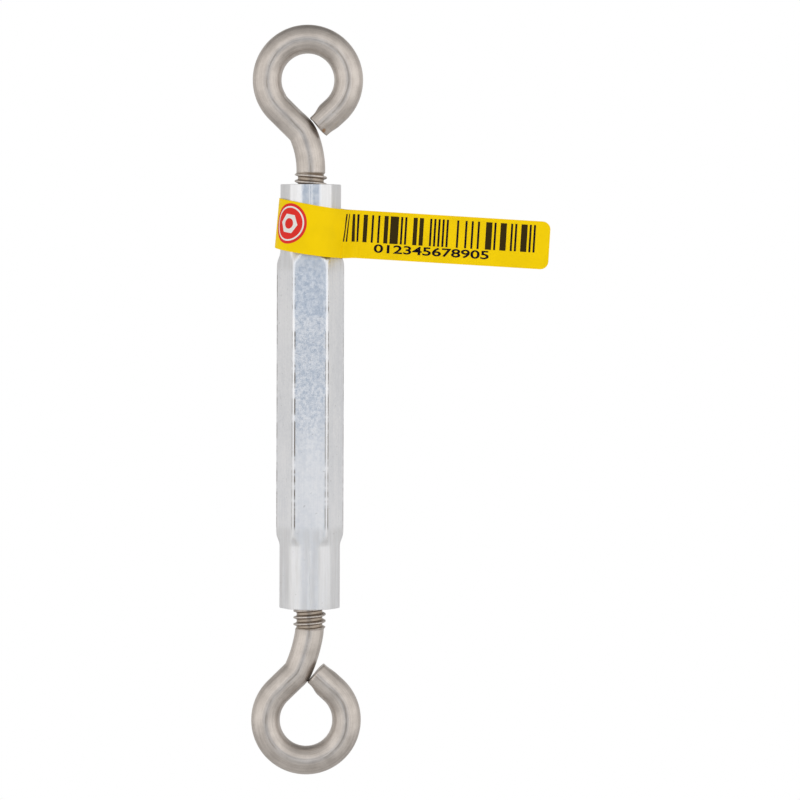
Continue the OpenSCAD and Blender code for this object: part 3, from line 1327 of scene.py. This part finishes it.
                faces.append((low + spoke, high + spoke, high + follow, low + follow))
                numbers.append(paints[ring + 1])
        rim = 1 + (len(rings) - 1) * spokes
        foot = [p - Vector((p.x, p.y, 0)).normalized() * self.ink_lift for p in points[rim:]]
        for spoke in range(spokes):
            follow = (spoke + 1) % spokes
            faces.append((rim + spoke, len(raised) + spoke, len(raised) + follow, rim + follow))
            numbers.append(red)
        faces.append(tuple(len(raised) + spoke for spoke in reversed(range(spokes))))
        numbers.append(red)
        disc = mesh_object("label_emblem", np.array(raised + foot), faces)
        mesh = disc.data
        mesh.polygons.foreach_set("material_index", numbers)
        bpy.data.objects.remove(disc)
        return mesh

    def build(self) -> bpy.types.Object:
        """Makes the label with its print, and stands it in for its plain solid."""
        meshes = [self.strip_mesh(), self.digits_mesh(), self.emblem_mesh()]
        materials = [PrintedPaper().material(surface) for surface in self.SURFACES]
        piece = join_parts("label_detailed", meshes, 0.0004 * MM, materials)
        shade_smooth(piece, 35)
        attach(piece, "barrel")
        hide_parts("label")
        return piece


# ---------------------------------------------------------------- studio


@dataclass
class Studio:
    """A plain pale floor in an evenly white room, with soft lights and the camera in front."""

    middle: Vector
    floor_z: float
    camera_distance: float = 0.66
    camera_z: float = -0.035
    lens: float = 158.0
    aim_right: float = 0.0169
    roll: float = math.radians(0.23)
    aim_up: float = 0.24 * MM
    floor_size: float = 3.0
    paper: Colour = (0.98, 0.98, 0.98)
    softbox_right: float = 0.62
    softbox_front: float = 0.40
    softbox_up: float = 0.02
    softbox_size: tuple[float, float] = (0.34, 0.9)
    softbox_power: float = 0.10
    room_tint: Colour = (1.0, 0.985, 0.97)
    patch_tint: Colour = (0.20, 0.27, 0.365)
    room_level: float = 1.34
    behind_loss: float = 0.60
    upright_loss: float = 0.54
    beside_loss: float = 0.27

    def camera(self) -> None:
        """Places the camera straight in front, aimed a little to the right of the object."""
        data = bpy.data.cameras.new("camera")
        data.lens = self.lens
        data.sensor_width = 36.0
        data.clip_start = 0.01
        data.clip_end = 50.0
        holder = bpy.data.objects.new("camera", data)
        place = Vector((0.0, -self.camera_distance, self.camera_z))
        towards = Vector((self.aim_right, 0.0, self.middle.z + self.aim_up)) - place
        aimed = towards.to_track_quat("-Z", "Y").to_matrix().to_4x4()
        holder.matrix_world = Matrix.Translation(place) @ aimed @ Matrix.Rotation(self.roll, 4, "Z")
        bpy.context.scene.collection.objects.link(holder)
        bpy.context.scene.camera = holder

    def floor(self) -> None:
        """Lays the floor well below the object, which hangs by its upper eye."""
        half = self.floor_size / 2
        corners = [(-half, -half), (half, -half), (half, half), (-half, half)]
        points = np.array([(x, y, self.floor_z) for x, y in corners])
        sheet = mesh_object("studio_floor", points, [(0, 1, 2, 3)])
        s = Shading("studio_floor")
        mottle = s.noise(s.place, 9.0, 2.0)
        s.set(Base_Color=s.mix(mottle, self.paper, tuple(part * 0.99 for part in self.paper)), Roughness=0.7)
        sheet.data.materials.append(s.material)

    def softbox(self, name: str, side: int) -> None:
        """Hangs one soft light that faces the object.

        Args:
            name: its name.
            side: 1 for the right of the object, -1 for its left.
        """
        place = Vector((side * self.softbox_right, -self.softbox_front, self.softbox_up))
        data = bpy.data.lights.new(name, "AREA")
        data.shape = "RECTANGLE"
        data.size, data.size_y = self.softbox_size
        data.energy = self.softbox_power
        lamp = bpy.data.objects.new(name, data)
        facing = (-place).to_track_quat("-Z", "Y").to_matrix().to_4x4()
        lamp.matrix_world = Matrix.Translation(self.middle + place) @ facing
        bpy.context.scene.collection.objects.link(lamp)

    def room(self) -> None:
        """Paints the room's light: white as the camera sees it, with a dim bluish patch in front."""
        world = bpy.data.worlds.new("studio_room")
        bpy.context.scene.world = world
        world.use_nodes = True
        world.node_tree.nodes.clear()
        g = Graph(world.node_tree)
        _, y, z = g.parts(g.value("ShaderNodeTexCoord", output="Generated"))
        off_front = g.math("ARCCOSINE", (y * -1.0).at_most(0.99999).at_least(-0.99999)) / math.radians(1)
        dim = off_front.ramp(7.0, 24.0, 1.0, 0.0)
        behind = off_front.ramp(80.0, 105.0)
        upright = abs(z).ramp(0.25, 0.9)
        beside = abs(off_front - 62.0).ramp(8.0, 26.0, 1.0, 0.0)
        level = self.room_level - behind * self.behind_loss
        level = level - upright * self.upright_loss - beside * self.beside_loss
        mix = g.add("ShaderNodeMix", {"data_type": "RGBA"}, {0: dim})
        mix.inputs[6].default_value = (*self.room_tint, 1.0)
        mix.inputs[7].default_value = (*self.patch_tint, 1.0)
        soft = g.add("ShaderNodeBackground", {}, {"Color": mix.outputs[2], "Strength": level})
        plain = g.add("ShaderNodeBackground", {}, {"Color": (1.0, 1.0, 1.0, 1.0), "Strength": 1.0})
        seen = g.add("ShaderNodeLightPath").outputs["Is Camera Ray"]
        both = g.add("ShaderNodeMixShader", {}, {0: seen, 1: soft.outputs[0], 2: plain.outputs[0]})
        g.add("ShaderNodeOutputWorld", {}, {"Surface": both.outputs[0]})

    def build(self) -> None:
        """Sets up the whole studio."""
        self.room()
        self.floor()
        self.softbox("left_softbox", -1)
        self.softbox("right_softbox", 1)
        self.camera()
        bpy.context.scene.view_settings.view_transform = "Standard"


# ---------------------------------------------------------------- the whole object


def mount_place(name: str) -> Vector:
    """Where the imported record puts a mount."""
    mounts = frame["record"]["mounts"]
    return Vector(next(mount["pos_m"] for mount in mounts if mount["name"] == name))


def main() -> None:
    """Builds the object round the frame, then the studio, and reports each piece."""
    logging.basicConfig(level=logging.INFO, format="%(name)s: %(message)s")
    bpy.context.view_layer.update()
    barrel_low, barrel_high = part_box("barrel")
    label_low, label_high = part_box("label")
    upper_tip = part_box("upper_eye_bolt")[0].z
    lower_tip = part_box("lower_eye_bolt")[1].z
    upper_eye = Vector((0.0, 0.0, mount_place("upper_eye").z))
    lower_eye = Vector((0.0, 0.0, mount_place("lower_eye").z))
    upper = EyeBolt("upper_eye_bolt", "upper_eye_bolt", Hand.LEFT, crest_shift=0.225 * MM)
    lower = EyeBolt(
        "lower_eye_bolt", "lower_eye_bolt", Hand.RIGHT, crest_shift=-0.325 * MM,
        kink_lean=math.radians(9), ease_radius=28 * MM, shank=0.0, eye_gap=0.08 * MM,
    )
    pieces = [
        upper.build(upper_eye, 1, upper_tip),
        lower.build(lower_eye, -1, lower_tip),
        Barrel(barrel_low, barrel_high).build(),
        Label(label_low, label_high, barrel_high.z - LABEL_DROP).build(),
    ]
    ring = frame["nodes"]["carrier_ring"]
    ring.data.materials.clear()
    ring.data.materials.append(bpy.data.materials["barrel_metal"])
    for piece in [*pieces, ring]:
        LOG.info("%s: %d faces", piece.name, len(piece.data.polygons))
    middle = (upper_eye + lower_eye) / 2
    Studio(middle, barrel_low.z - FLOOR_DROP).build()


if __name__ == "__main__":
    main()
